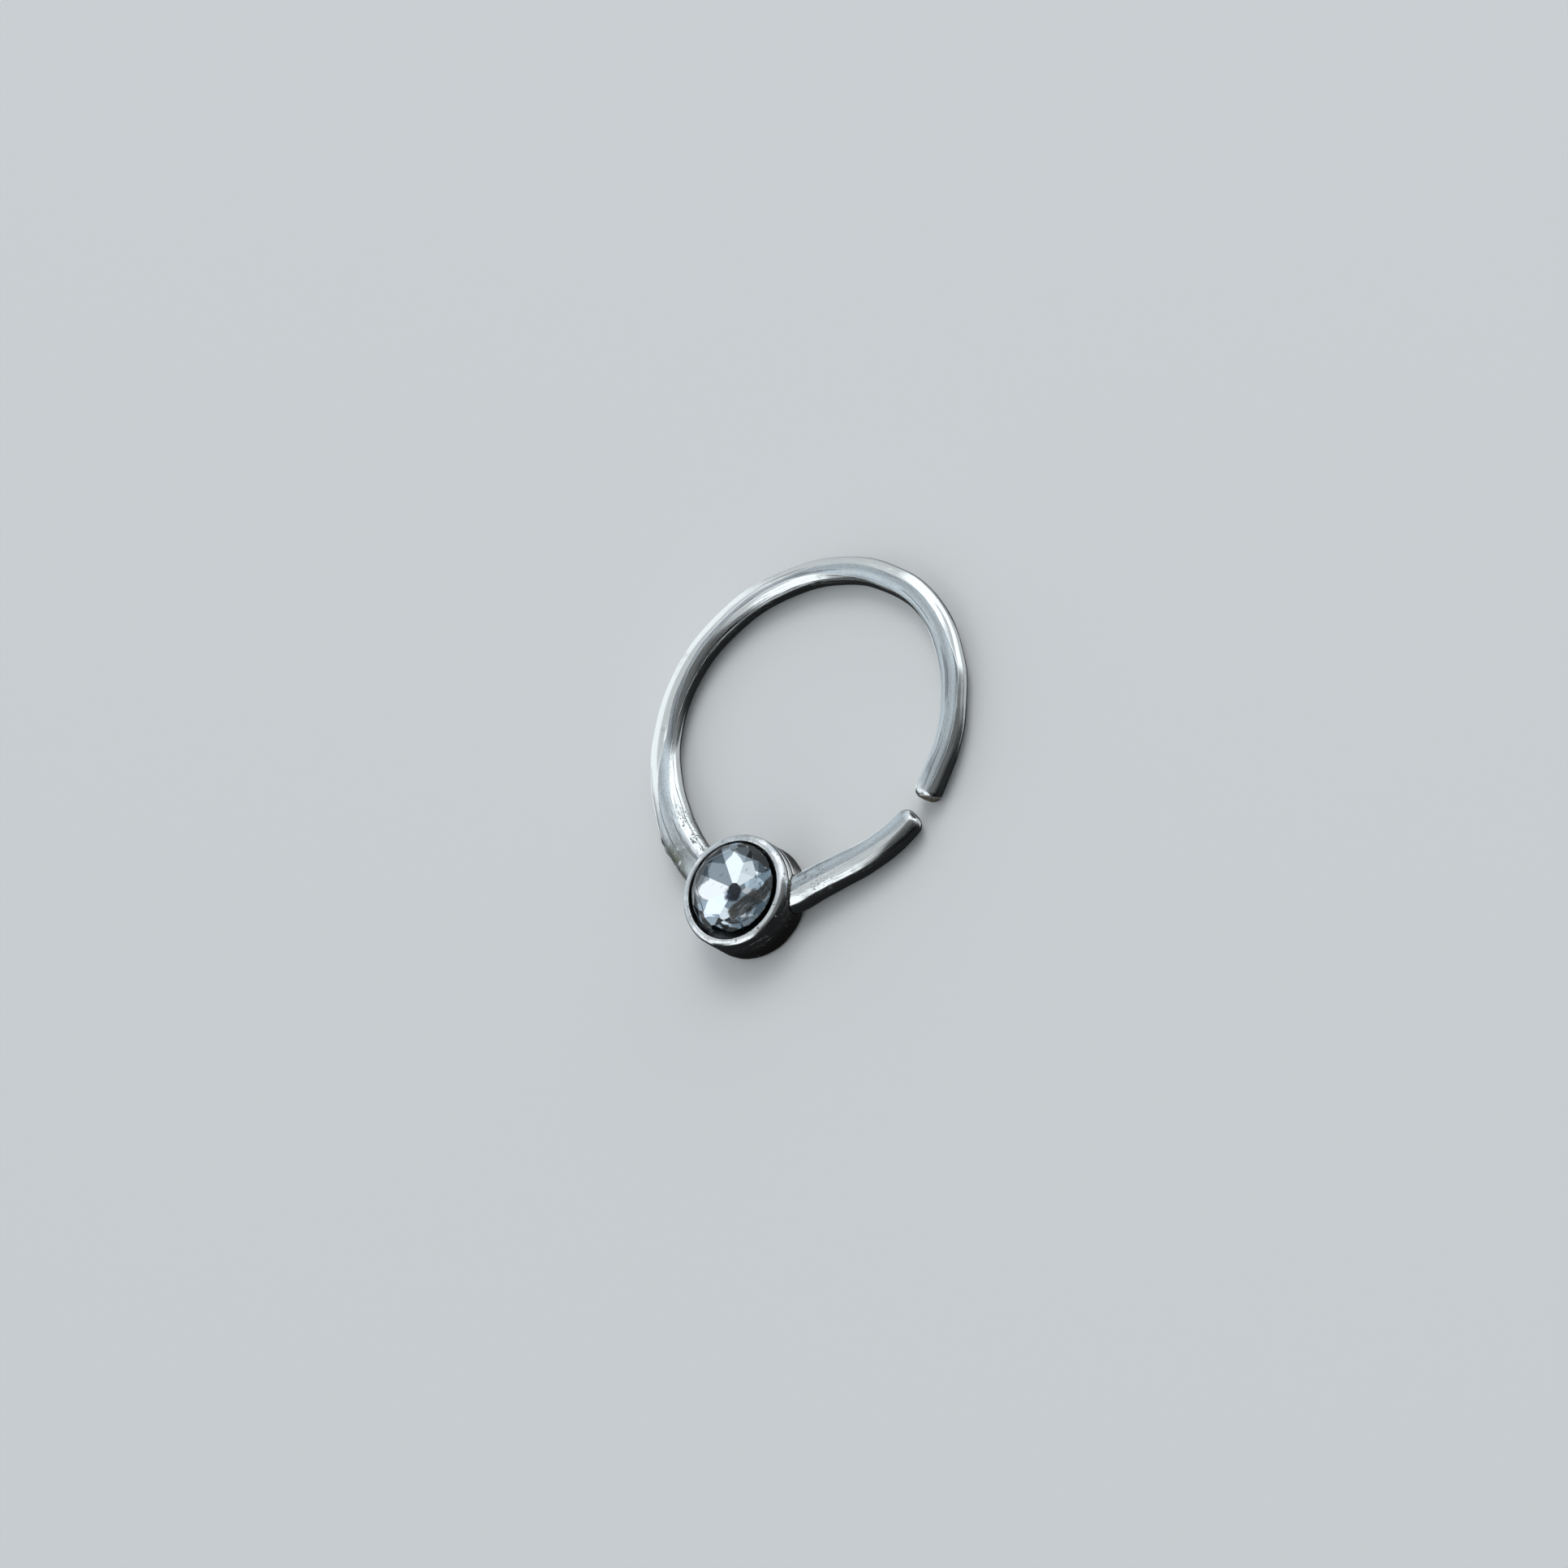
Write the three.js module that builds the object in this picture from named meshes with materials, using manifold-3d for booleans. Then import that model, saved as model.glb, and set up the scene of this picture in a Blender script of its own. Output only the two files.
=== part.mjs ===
// Septum ring: an open hoop of silver wire, soldered to both sides of a round bezel cup that
// holds a round cut crystal. Millimetres, +Z up. The ring lies on its side with the crystal up:
// the cup's back and the wire's underside are on z = 0, the cup is toward -Y, and the gap
// between the wire's two tips is toward +X.
import * as THREE from 'three';
import { mergeVertices } from 'three/addons/utils/BufferGeometryUtils.js';
import Module from 'manifold-3d';

const wasm = await Module();
wasm.setup();

// Driving dimensions of the wire
const hoopRadius = 4.82; // middle of the hoop to the middle of the wire
const wireDiameter = 0.8; // the drawn wire where it is thinnest
const tipGap = 0.53; // clear way between the two wire tips
const tipGapTurn = 286.8; // where the gap lies, in degrees from the cup, clockwise from above
const tipRounding = 0.16; // how far back from its end a tip is filed round

// Driving dimensions of the cut crystal
const crystalDiameter = 2.68;
const girdleHeight = 0.07;
const crownHeight = 0.22;
const culetDiameter = 0.34;
const crownAngle = 37; // the main facets, in degrees from the plane of the girdle
const crownHalfSteeper = 6.5; // how much steeper the small facets along the girdle are
const starFlatter = 12; // how much flatter the small facets round the table are
const pavilionAngle = 15; // the low facets underneath, which show as eight sectors from above
const crystalTurn = 16; // how far the crystal is turned in the cup, in degrees

// Driving dimensions of the bezel cup
const cupWall = 0.255;
const cupFloor = 1.12; // the cup is turned from solid rod, and hollowed only for the crystal
const rimRounding = 0.11; // outer edge of the rim, rubbed down by the burnisher
const rimBevel = 0.055; // inner edge of the rim
const backRounding = 0.14; // edge of the cup's back
const cupBeyondWire = 0.43; // how far the cup's middle lies outside the wire's circle

// Clearances between the crystal and the cup
const crystalSideGap = 0.115; // the dark ring seen round the stone
const crystalSeatGap = 0.03; // from the culet to the cup's floor
const crystalProud = 0.12; // how far the girdle's upper edge stands over the rim

// Fineness of the round surfaces
const wireSides = 20;
const wireStep = 0.3;
const cupSides = 64;
const roundingSteps = 4;
const mergeDistance = 1e-5;

// Sizes that follow from the ones above
const crystalRadius = crystalDiameter / 2;
const culetRadius = culetDiameter / 2;
const degree = Math.PI / 180;
const pavilionDepth = (crystalRadius - culetRadius) * Math.tan(pavilionAngle * degree);
const girdleBottom = cupFloor + crystalSeatGap + pavilionDepth;
const girdleTop = girdleBottom + girdleHeight;
const boreRadius = crystalRadius + crystalSideGap;
const cupRadius = boreRadius + cupWall;
const cupHeight = girdleTop - crystalProud;
const cupReach = hoopRadius + cupBeyondWire;

// Half of the tip gap, as a turn about the hoop's middle
const halfGapTurn = tipGap / 2 / hoopRadius / degree;
const arcEndTurn = tipGapTurn - halfGapTurn;
const stubEndTurn = tipGapTurn + halfGapTurn - 360;

// Both wires start inside the cup's hollow, which then trims them flush with the cup's wall
const rootTurn = Math.asin(boreRadius / 2 / cupReach) / degree;

// The long wire, from its root in the cup's left side round to its free tip.
// along: share of the turn from root to tip. reach: share of hoopRadius. thickness: share of
// wireDiameter. The hoop is bent by hand, so its reach wanders by a few hundredths.
const arcSections = [
  { along: 0, reach: cupReach / hoopRadius, thickness: 1.46 },
  { along: 0.044, reach: 1.06, thickness: 1.46 },
  { along: 0.094, reach: 1.032, thickness: 1.42 },
  { along: 0.142, reach: 1.01, thickness: 1.31 },
  { along: 0.189, reach: 1.007, thickness: 1.16 },
  { along: 0.243, reach: 1.005, thickness: 1.05 },
  { along: 0.327, reach: 0.994, thickness: 1.02 },
  { along: 0.421, reach: 0.976, thickness: 1.04 },
  { along: 0.508, reach: 0.978, thickness: 1.05 },
  { along: 0.584, reach: 1.003, thickness: 1.04 },
  { along: 0.66, reach: 1.028, thickness: 1.03 },
  { along: 0.733, reach: 1.037, thickness: 1 },
  { along: 0.816, reach: 1.006, thickness: 0.98 },
  { along: 0.867, reach: 0.985, thickness: 0.95 },
  { along: 0.922, reach: 0.977, thickness: 0.98 },
  { along: 0.969, reach: 0.968, thickness: 1 },
  { along: 1, reach: 0.982, thickness: 1 },
];

// The short wire, from its root in the cup's right side to its tip
const stubSections = [
  { along: 0, reach: cupReach / hoopRadius, thickness: 1.34 },
  { along: 0.16, reach: 1.045, thickness: 1.32 },
  { along: 0.27, reach: 1.0, thickness: 1.29 },
  { along: 0.435, reach: 0.967, thickness: 1.24 },
  { along: 0.613, reach: 0.966, thickness: 1.17 },
  { along: 0.806, reach: 0.978, thickness: 1.12 },
  { along: 1, reach: 0.99, thickness: 1.04 },
];

// Each tier is a flat-sided pyramid, and the crystal is what lies inside them all.
// turn is in steps of the tier's own facets. outset is the share of the crystal's radius that
// the tier keeps at the girdle, measured to the middle of a facet.
const mainSides = 8;
const halfSides = 2 * mainSides;
const blankSides = 2 * halfSides;
const halfOutset = Math.cos(Math.PI / halfSides);
const crownTiers = [
  { sides: mainSides, turn: 0.5, angle: crownAngle, outset: 1 },
  { sides: halfSides, turn: 0, angle: crownAngle + crownHalfSteeper, outset: halfOutset },
];
const pavilionTier = { sides: mainSides, turn: 0.5, angle: pavilionAngle, outset: 1 };
const starAngle = crownAngle - starFlatter;

// Materials
const silver = new THREE.MeshStandardMaterial({ color: 0xd9dcdd, roughness: 0.2, metalness: 1 });
const cutGlass = new THREE.MeshStandardMaterial({ color: 0xe9f1f6, roughness: 0.04, metalness: 0 });

// Solids and meshes
function toSolid(geometry) {
  const bare = geometry.index ? geometry.toNonIndexed() : geometry.clone();
  bare.deleteAttribute('normal');
  bare.deleteAttribute('uv');
  const merged = mergeVertices(bare, mergeDistance);
  return new wasm.Manifold(new wasm.Mesh({
    numProp: 3,
    vertProperties: Float32Array.from(merged.getAttribute('position').array),
    triVerts: Uint32Array.from(merged.index.array),
  }));
}

function toMesh(name, solid, material) {
  const { vertProperties, triVerts } = solid.getMesh();
  const geometry = new THREE.BufferGeometry();
  geometry.setAttribute('position', new THREE.BufferAttribute(vertProperties, 3));
  geometry.setIndex(new THREE.BufferAttribute(triVerts, 1));
  const flat = geometry.toNonIndexed();
  flat.computeVertexNormals();
  const mesh = new THREE.Mesh(flat, material);
  mesh.name = name;
  return mesh;
}

// A lathe profile is turned about Y, so its solid is stood up to turn about Z
function turned(profile, sides) {
  return new THREE.LatheGeometry(profile, sides).rotateX(Math.PI / 2);
}

// Points of a quarter round in a profile, from startAngle round to startAngle + sweep
function quarterRound(centreX, centreY, radius, startAngle, sweep = 90) {
  return Array.from({ length: roundingSteps + 1 }, (_, i) => {
    const angle = (startAngle + sweep * i / roundingSteps) * degree;
    return new THREE.Vector2(centreX + radius * Math.cos(angle), centreY + radius * Math.sin(angle));
  });
}

// Wire
// Middle of the wire at a section. Its height is the wire's own radius, so that the underside
// stays level with the cup's back however thick the wire is there.
function sectionMiddle(section, startTurn, endTurn) {
  const turn = (startTurn + (endTurn - startTurn) * section.along) * degree;
  const reach = hoopRadius * section.reach;
  const radius = wireDiameter * section.thickness / 2;
  return new THREE.Vector3(-reach * Math.sin(turn), -reach * Math.cos(turn), radius);
}

// A straight wire with rounded ends is turned at radius 1, then bent along its path
function bentWire(sections, startTurn, endTurn) {
  const middles = sections.map((section) => sectionMiddle(section, startTurn, endTurn));
  const path = new THREE.CatmullRomCurve3(middles, false, 'centripetal');
  const length = path.getLength();
  const steps = Math.ceil((length - 2 * tipRounding) / wireStep);
  const rootEnd = Array.from({ length: roundingSteps + 1 }, (_, i) => {
    const angle = 90 * degree * i / roundingSteps;
    return new THREE.Vector2(Math.sin(angle), tipRounding * (1 - Math.cos(angle)));
  });
  const tipEnd = rootEnd.map((point) => new THREE.Vector2(point.x, length - point.y)).reverse();
  const profile = [...rootEnd];
  for (let i = 1; i < steps; i += 1) {
    profile.push(new THREE.Vector2(1, tipRounding + (length - 2 * tipRounding) * i / steps));
  }
  profile.push(...tipEnd);
  const geometry = new THREE.LatheGeometry(profile, wireSides);
  const position = geometry.getAttribute('position');
  const up = new THREE.Vector3(0, 0, 1);
  for (let i = 0; i < position.count; i += 1) {
    const share = THREE.MathUtils.clamp(position.getY(i) / length, 0, 1);
    const middle = path.getPointAt(share);
    const side = path.getTangentAt(share).cross(up).normalize();
    const bent = middle.clone();
    bent.addScaledVector(side, position.getX(i) * middle.z);
    bent.addScaledVector(up, position.getZ(i) * middle.z);
    position.setXYZ(i, bent.x, bent.y, bent.z);
  }
  return geometry;
}

// Bezel cup
function cupBody() {
  const profile = [
    new THREE.Vector2(0, 0),
    ...quarterRound(cupRadius - backRounding, backRounding, backRounding, -90),
    ...quarterRound(cupRadius - rimRounding, cupHeight - rimRounding, rimRounding, 0),
    new THREE.Vector2(0, cupHeight),
  ];
  return turned(profile, cupSides);
}

function cupHollow() {
  const above = cupHeight + cupWall;
  const profile = [
    new THREE.Vector2(0, cupFloor),
    new THREE.Vector2(boreRadius, cupFloor),
    new THREE.Vector2(boreRadius, cupHeight - rimBevel),
    new THREE.Vector2(boreRadius + rimBevel, cupHeight),
    new THREE.Vector2(boreRadius + rimBevel, above),
    new THREE.Vector2(0, above),
  ];
  return turned(profile, cupSides);
}

function hoopWithCup() {
  const cupMiddle = [0, -cupReach, 0];
  const longWire = toSolid(bentWire(arcSections, rootTurn, arcEndTurn));
  const shortWire = toSolid(bentWire(stubSections, -rootTurn, stubEndTurn));
  const body = toSolid(cupBody()).translate(cupMiddle);
  const hollow = toSolid(cupHollow()).translate(cupMiddle);
  return body.add(longWire).add(shortWire).subtract(hollow);
}

// Cut crystal
// A flat-sided pyramid with its apex beyond the crown (toward 1) or the pavilion (toward -1).
// Its facets pass the girdle at outset and run on past the far end of the crystal.
function tierSolid({ sides, turn, angle, outset }, girdleZ, toward) {
  const slope = Math.tan(angle * degree);
  const radius = crystalRadius * outset;
  const apexZ = girdleZ + toward * radius * slope;
  const baseZ = girdleZ - toward * crystalDiameter;
  const baseRadius = (radius + crystalDiameter / slope) / Math.cos(Math.PI / sides);
  const profile = [
    new THREE.Vector2(0, Math.min(apexZ, baseZ)),
    new THREE.Vector2(baseRadius, baseZ),
    new THREE.Vector2(0, Math.max(apexZ, baseZ)),
  ];
  return toSolid(turned(profile, sides)).rotate([0, 0, turn * 360 / sides]);
}

function cutCrystal() {
  const tableZ = girdleTop + crownHeight;
  const culetZ = girdleBottom - pavilionDepth;
  const tableReach = crystalRadius - crownHeight / Math.tan(crownAngle * degree);
  const blank = [
    new THREE.Vector2(0, culetZ),
    new THREE.Vector2(crystalRadius, culetZ),
    new THREE.Vector2(crystalRadius, tableZ),
    new THREE.Vector2(0, tableZ),
  ];
  const starRise = crownHeight / Math.tan(starAngle * degree);
  const star = {
    sides: mainSides,
    turn: 0,
    angle: starAngle,
    outset: (tableReach * Math.cos(Math.PI / mainSides) + starRise) / crystalRadius,
  };
  let crystal = toSolid(turned(blank, blankSides));
  for (const tier of [...crownTiers, star]) {
    crystal = crystal.intersect(tierSolid(tier, girdleTop, 1));
  }
  crystal = crystal.intersect(tierSolid(pavilionTier, girdleBottom, -1));
  return crystal.rotate([0, 0, crystalTurn]).translate([0, -cupReach, 0]);
}

// The whole ring, with the middle of its outline on the Z axis and its underside on z = 0
const septumRing = new THREE.Group();
septumRing.add(toMesh('hoop_with_cup', hoopWithCup(), silver));
septumRing.add(toMesh('crystal', cutCrystal(), cutGlass));
const outline = new THREE.Box3().setFromObject(septumRing);
const outlineMiddle = outline.getCenter(new THREE.Vector3());
septumRing.position.set(-outlineMiddle.x, -outlineMiddle.y, -outline.min.z);

export default septumRing;
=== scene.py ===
import math
import bmesh
import bpy
from mathutils import Matrix, Vector


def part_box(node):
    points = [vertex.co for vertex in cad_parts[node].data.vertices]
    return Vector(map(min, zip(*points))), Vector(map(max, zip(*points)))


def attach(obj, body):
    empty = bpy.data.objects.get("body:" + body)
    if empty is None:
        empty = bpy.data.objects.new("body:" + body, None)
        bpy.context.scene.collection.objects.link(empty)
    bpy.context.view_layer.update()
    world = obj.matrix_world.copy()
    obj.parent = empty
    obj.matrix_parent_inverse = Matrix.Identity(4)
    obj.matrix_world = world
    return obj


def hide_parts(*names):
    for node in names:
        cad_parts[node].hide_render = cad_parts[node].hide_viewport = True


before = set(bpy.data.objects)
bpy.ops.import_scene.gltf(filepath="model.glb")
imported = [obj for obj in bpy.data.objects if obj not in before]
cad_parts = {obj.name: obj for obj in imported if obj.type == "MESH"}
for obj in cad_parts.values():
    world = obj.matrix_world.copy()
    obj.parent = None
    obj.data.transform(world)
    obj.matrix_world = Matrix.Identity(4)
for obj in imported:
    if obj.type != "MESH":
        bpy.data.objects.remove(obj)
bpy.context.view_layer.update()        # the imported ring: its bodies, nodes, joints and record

# Everything is modelled at one unit to the millimetre, then brought down to metres.
mm = 0.001
crystalLow, crystalHigh = (Vector(corner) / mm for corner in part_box("crystal"))
cupMiddle = Vector(((crystalLow.x + crystalHigh.x) / 2, (crystalLow.y + crystalHigh.y) / 2, 0))
scene = bpy.context.scene


# Camera, at the photograph's angle to the ring
cameraValues = {
    "azimuth": 77.47,
    "elevation": 54.5,
    "roll": -60,
    "distance": 289.05,
    "lens": 229.19,
    "aim": (-0.168, -0.911, 0.40),
}


def makeCamera(values):
    turn = Matrix.Rotation(math.radians(values["azimuth"]), 3, "Z")
    tilt = Matrix.Rotation(math.radians(90 - values["elevation"]), 3, "X")
    roll = Matrix.Rotation(math.radians(values["roll"]), 3, "Z")
    axes = turn @ tilt @ roll
    place = (Vector(values["aim"]) + axes.col[2] * values["distance"]) * mm
    bpy.ops.object.camera_add(location=place, rotation=axes.to_euler())
    camera = bpy.context.object
    camera.name = "camera"
    camera.data.lens = values["lens"]
    camera.data.clip_start = 0.01
    camera.data.clip_end = 10
    scene.camera = camera


makeCamera(cameraValues)
print("camera placed")


# Selecting and shaping
def onlyPick(*pieces):
    bpy.ops.object.select_all(action="DESELECT")
    for piece in pieces:
        piece.select_set(True)
    bpy.context.view_layer.objects.active = pieces[0]


def settle():
    bpy.ops.object.transform_apply(location=True, rotation=True, scale=True)


def startEdit(piece):
    onlyPick(piece)
    bpy.ops.object.mode_set(mode="EDIT")
    bpy.ops.mesh.select_all(action="DESELECT")


def endEdit():
    bpy.ops.object.mode_set(mode="OBJECT")


def pickEdges(piece, rule):
    bpy.ops.mesh.select_all(action="DESELECT")
    bpy.ops.mesh.select_mode(type="EDGE")
    shape = bmesh.from_edit_mesh(piece.data)
    for edge in shape.edges:
        if rule(edge.verts[0].co, edge.verts[1].co):
            edge.select_set(True)
    bmesh.update_edit_mesh(piece.data)


def pickFaces(piece, rule):
    bpy.ops.mesh.select_all(action="DESELECT")
    bpy.ops.mesh.select_mode(type="FACE")
    shape = bmesh.from_edit_mesh(piece.data)
    for face in shape.faces:
        if rule(face.calc_center_median(), face.normal):
            face.select_set(True)
    bmesh.update_edit_mesh(piece.data)


def applyModifier(piece, kind, **settings):
    onlyPick(piece)
    modifier = piece.modifiers.new(kind.lower(), kind)
    for name, value in settings.items():
        setattr(modifier, name, value)
    bpy.ops.object.modifier_apply(modifier=modifier.name)


def cloudTexture(name, size, depth=1):
    texture = bpy.data.textures.new(name, "CLOUDS")
    texture.noise_scale = size
    texture.noise_depth = depth
    return texture


def bringToMetres(piece):
    onlyPick(piece)
    piece.scale = (mm, mm, mm)
    settle()


def keepOwnPlace(piece, rule):
    # The points' places on the unbent or uncurled piece, so that tool lines follow the surface
    marks = piece.data.attributes.new("ownPlace", "FLOAT_VECTOR", "POINT")
    for mark, point in zip(marks.data, piece.data.vertices):
        mark.vector = rule(point.co)


# Wire
wireValues = {
    "hoopRadius": 4.82,
    "diameter": 0.8,
    "sides": 64,
    "ringStep": 0.085,
    "longTipRounding": 0.25,
    "shortTipRounding": 0.3,
    "tipSteps": 6,
    "cupReach": 5.25,
    "rootTurn": 7.97,
    "arcEndTurn": 283.65,
    "stubEndTurn": -70.05,
    "drawShare": 0.08,       # the blank's length before it is drawn out
    "drawMarkSize": 0.11,
    "drawMarkDepth": 0.008,
    "handSize": 0.9,
    "handDepth": 0.026,
    "burrPlace": (-3.2, -3.69, 0.72),
    "burrSize": 0.2,
    "burrHeight": 0.14,
    "burrGrain": 0.06,
    "shortWireShift": 30,    # keeps the short wire's own places apart from the long one's
    "rootDepth": 1.53,       # how near the cup's middle the wire's root ends, inside the wall
}

# along: share of the turn from root to tip. reach: share of the hoop's radius. thickness:
# share of the wire's diameter.
arcSections = (
    {"along": 0, "reach": 1.0892, "thickness": 1.46},
    {"along": 0.044, "reach": 1.06, "thickness": 1.46},
    {"along": 0.094, "reach": 1.032, "thickness": 1.42},
    {"along": 0.142, "reach": 1.01, "thickness": 1.31},
    {"along": 0.189, "reach": 1.007, "thickness": 1.16},
    {"along": 0.243, "reach": 1.005, "thickness": 1.05},
    {"along": 0.327, "reach": 0.994, "thickness": 1.02},
    {"along": 0.421, "reach": 0.976, "thickness": 1.04},
    {"along": 0.508, "reach": 0.978, "thickness": 1.05},
    {"along": 0.584, "reach": 1.003, "thickness": 1.04},
    {"along": 0.66, "reach": 1.028, "thickness": 1.03},
    {"along": 0.733, "reach": 1.037, "thickness": 1},
    {"along": 0.816, "reach": 1.006, "thickness": 0.98},
    {"along": 0.867, "reach": 0.985, "thickness": 0.95},
    {"along": 0.922, "reach": 0.977, "thickness": 0.98},
    {"along": 0.969, "reach": 0.968, "thickness": 1.01},
    {"along": 1, "reach": 0.982, "thickness": 1.04},
)
stubSections = (
    {"along": 0, "reach": 1.0892, "thickness": 1.34},
    {"along": 0.16, "reach": 1.045, "thickness": 1.32},
    {"along": 0.27, "reach": 1.0, "thickness": 1.29},
    {"along": 0.435, "reach": 0.967, "thickness": 1.24},
    {"along": 0.613, "reach": 0.966, "thickness": 1.17},
    {"along": 0.806, "reach": 0.978, "thickness": 1.12},
    {"along": 1, "reach": 0.99, "thickness": 1.04},
)
ringMiddle = cupMiddle + Vector((0, wireValues["cupReach"], 0))


def wirePath(name, sections, startTurn, endTurn, values):
    bpy.ops.curve.primitive_bezier_curve_add()
    path = bpy.context.object
    path.name = name
    path.data.twist_mode = "Z_UP"
    path.data.resolution_u = 32
    spline = path.data.splines[0]
    spline.radius_interpolation = "CARDINAL"
    spline.bezier_points.add(len(sections) - 2)
    for point, section in zip(spline.bezier_points, sections):
        turn = math.radians(startTurn + (endTurn - startTurn) * section["along"])
        reach = values["hoopRadius"] * section["reach"]
        height = values["diameter"] / 2 * section["thickness"]
        point.co = ringMiddle + Vector((-reach * math.sin(turn), -reach * math.cos(turn), height))
        point.radius = section["thickness"]
        point.handle_left_type = "AUTO"
        point.handle_right_type = "AUTO"
    return path


def drawnWire(name, sections, startTurn, endTurn, seedShift, tipRounding, values):
    outerSide = 1 if endTurn > startTurn else -1
    path = wirePath(name + "Path", sections, startTurn, endTurn, values)
    length = path.data.splines[0].calc_length()
    radius = values["diameter"] / 2
    bpy.ops.mesh.primitive_cylinder_add(
        vertices=values["sides"], radius=radius, depth=length,
        location=(length / 2, 0, 0), rotation=(0, math.pi / 2, 0))
    wire = bpy.context.object
    wire.name = name
    settle()

    # The tip is filed round, then rings of edges are laid along the wire
    startEdit(wire)
    pickEdges(wire, lambda a, b: min(a.x, b.x) > length - 0.001)
    bpy.ops.mesh.bevel(offset=tipRounding, segments=values["tipSteps"], profile=0.5)
    pickEdges(wire, lambda a, b: abs(a.x - b.x) > length / 2)
    bpy.ops.mesh.subdivide(number_cuts=round(length / values["ringStep"]))
    endEdit()
    keepOwnPlace(wire, lambda place: (place.x + seedShift, place.y * outerSide, place.z))
    body = wire.vertex_groups.new(name="body")
    tipStart = length - tipRounding * 1.2
    body.add([point.index for point in wire.data.vertices if point.co.x < tipStart], 1, "REPLACE")

    # The marks of the draw plate are made on the wire pushed together, and pulled out with it
    wire.scale = (values["drawShare"], 1, 1)
    wire.location.x = seedShift
    settle()
    applyModifier(wire, "DISPLACE", texture=cloudTexture(name + "Marks", values["drawMarkSize"], 2),
                  strength=values["drawMarkDepth"], mid_level=0.5, texture_coords="LOCAL",
                  vertex_group="body")
    wire.location.x = -seedShift
    settle()
    wire.scale = (1 / values["drawShare"], 1, 1)
    settle()

    # Bent by hand round the hoop
    applyModifier(wire, "CURVE", object=path, deform_axis="POS_X")
    bpy.data.objects.remove(path)
    applyModifier(wire, "DISPLACE", texture=cloudTexture(name + "Hand", values["handSize"]),
                  strength=values["handDepth"], mid_level=0.5, texture_coords="LOCAL")
    return wire


def trimRoot(wire, values):
    # The root is cut off square inside the cup's wall
    outward = Vector((0, 0, 0))
    for point in wire.data.vertices:
        away = point.co - cupMiddle
        if abs(away.xy.length - values["rootDepth"]) < 0.15:
            outward += away
    outward.z = 0
    outward.normalize()
    startEdit(wire)
    pickFaces(wire, lambda place, normal: (place - cupMiddle).length < values["rootDepth"] * 2)
    bpy.ops.mesh.bisect(plane_co=cupMiddle + outward * values["rootDepth"], plane_no=outward,
                        use_fill=True, clear_inner=True, threshold=0.0001)
    endEdit()
    return outward


def leaveBurr(wire, values):
    # A crumb that the saw left on the outer side
    burr = wire.vertex_groups.new(name="burr")
    place = Vector(values["burrPlace"])
    near = [point.index for point in wire.data.vertices
            if (point.co - place).length < values["burrSize"]]
    burr.add(near, 1, "REPLACE")
    applyModifier(wire, "DISPLACE", texture=cloudTexture("burr", values["burrGrain"], 2),
                  texture_coords="LOCAL", strength=values["burrHeight"], mid_level=0.2,
                  vertex_group="burr")
    print("burr left on", len(near), "points")


longWire = drawnWire("longWire", arcSections, wireValues["rootTurn"], wireValues["arcEndTurn"],
                     0, wireValues["longTipRounding"], wireValues)
shortWire = drawnWire("shortWire", stubSections, -wireValues["rootTurn"],
                      wireValues["stubEndTurn"], wireValues["shortWireShift"],
                      wireValues["shortTipRounding"], wireValues)
leaveBurr(longWire, wireValues)
leftRoot = trimRoot(longWire, wireValues)
rightRoot = trimRoot(shortWire, wireValues)
print("wires drawn and bent", leftRoot, rightRoot)


# Bezel cup
cupValues = {
    "radius": 1.71,
    "height": 1.4135,
    "wall": 0.255,
    "floor": 1.12,
    "sides": 160,
    "rimRounding": 0.185,
    "rimBevel": 0.065,
    "backRounding": 0.14,
    "roundingSteps": 5,
    "grooveHeights": (0.76, 1.05),   # two rings turned into the wall
    "grooveDepth": 0.022,
    "grooveWidth": 0.06,
    "wallSteps": 8,
    "handSize": 0.55,
    "handDepth": 0.022,
}


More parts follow.
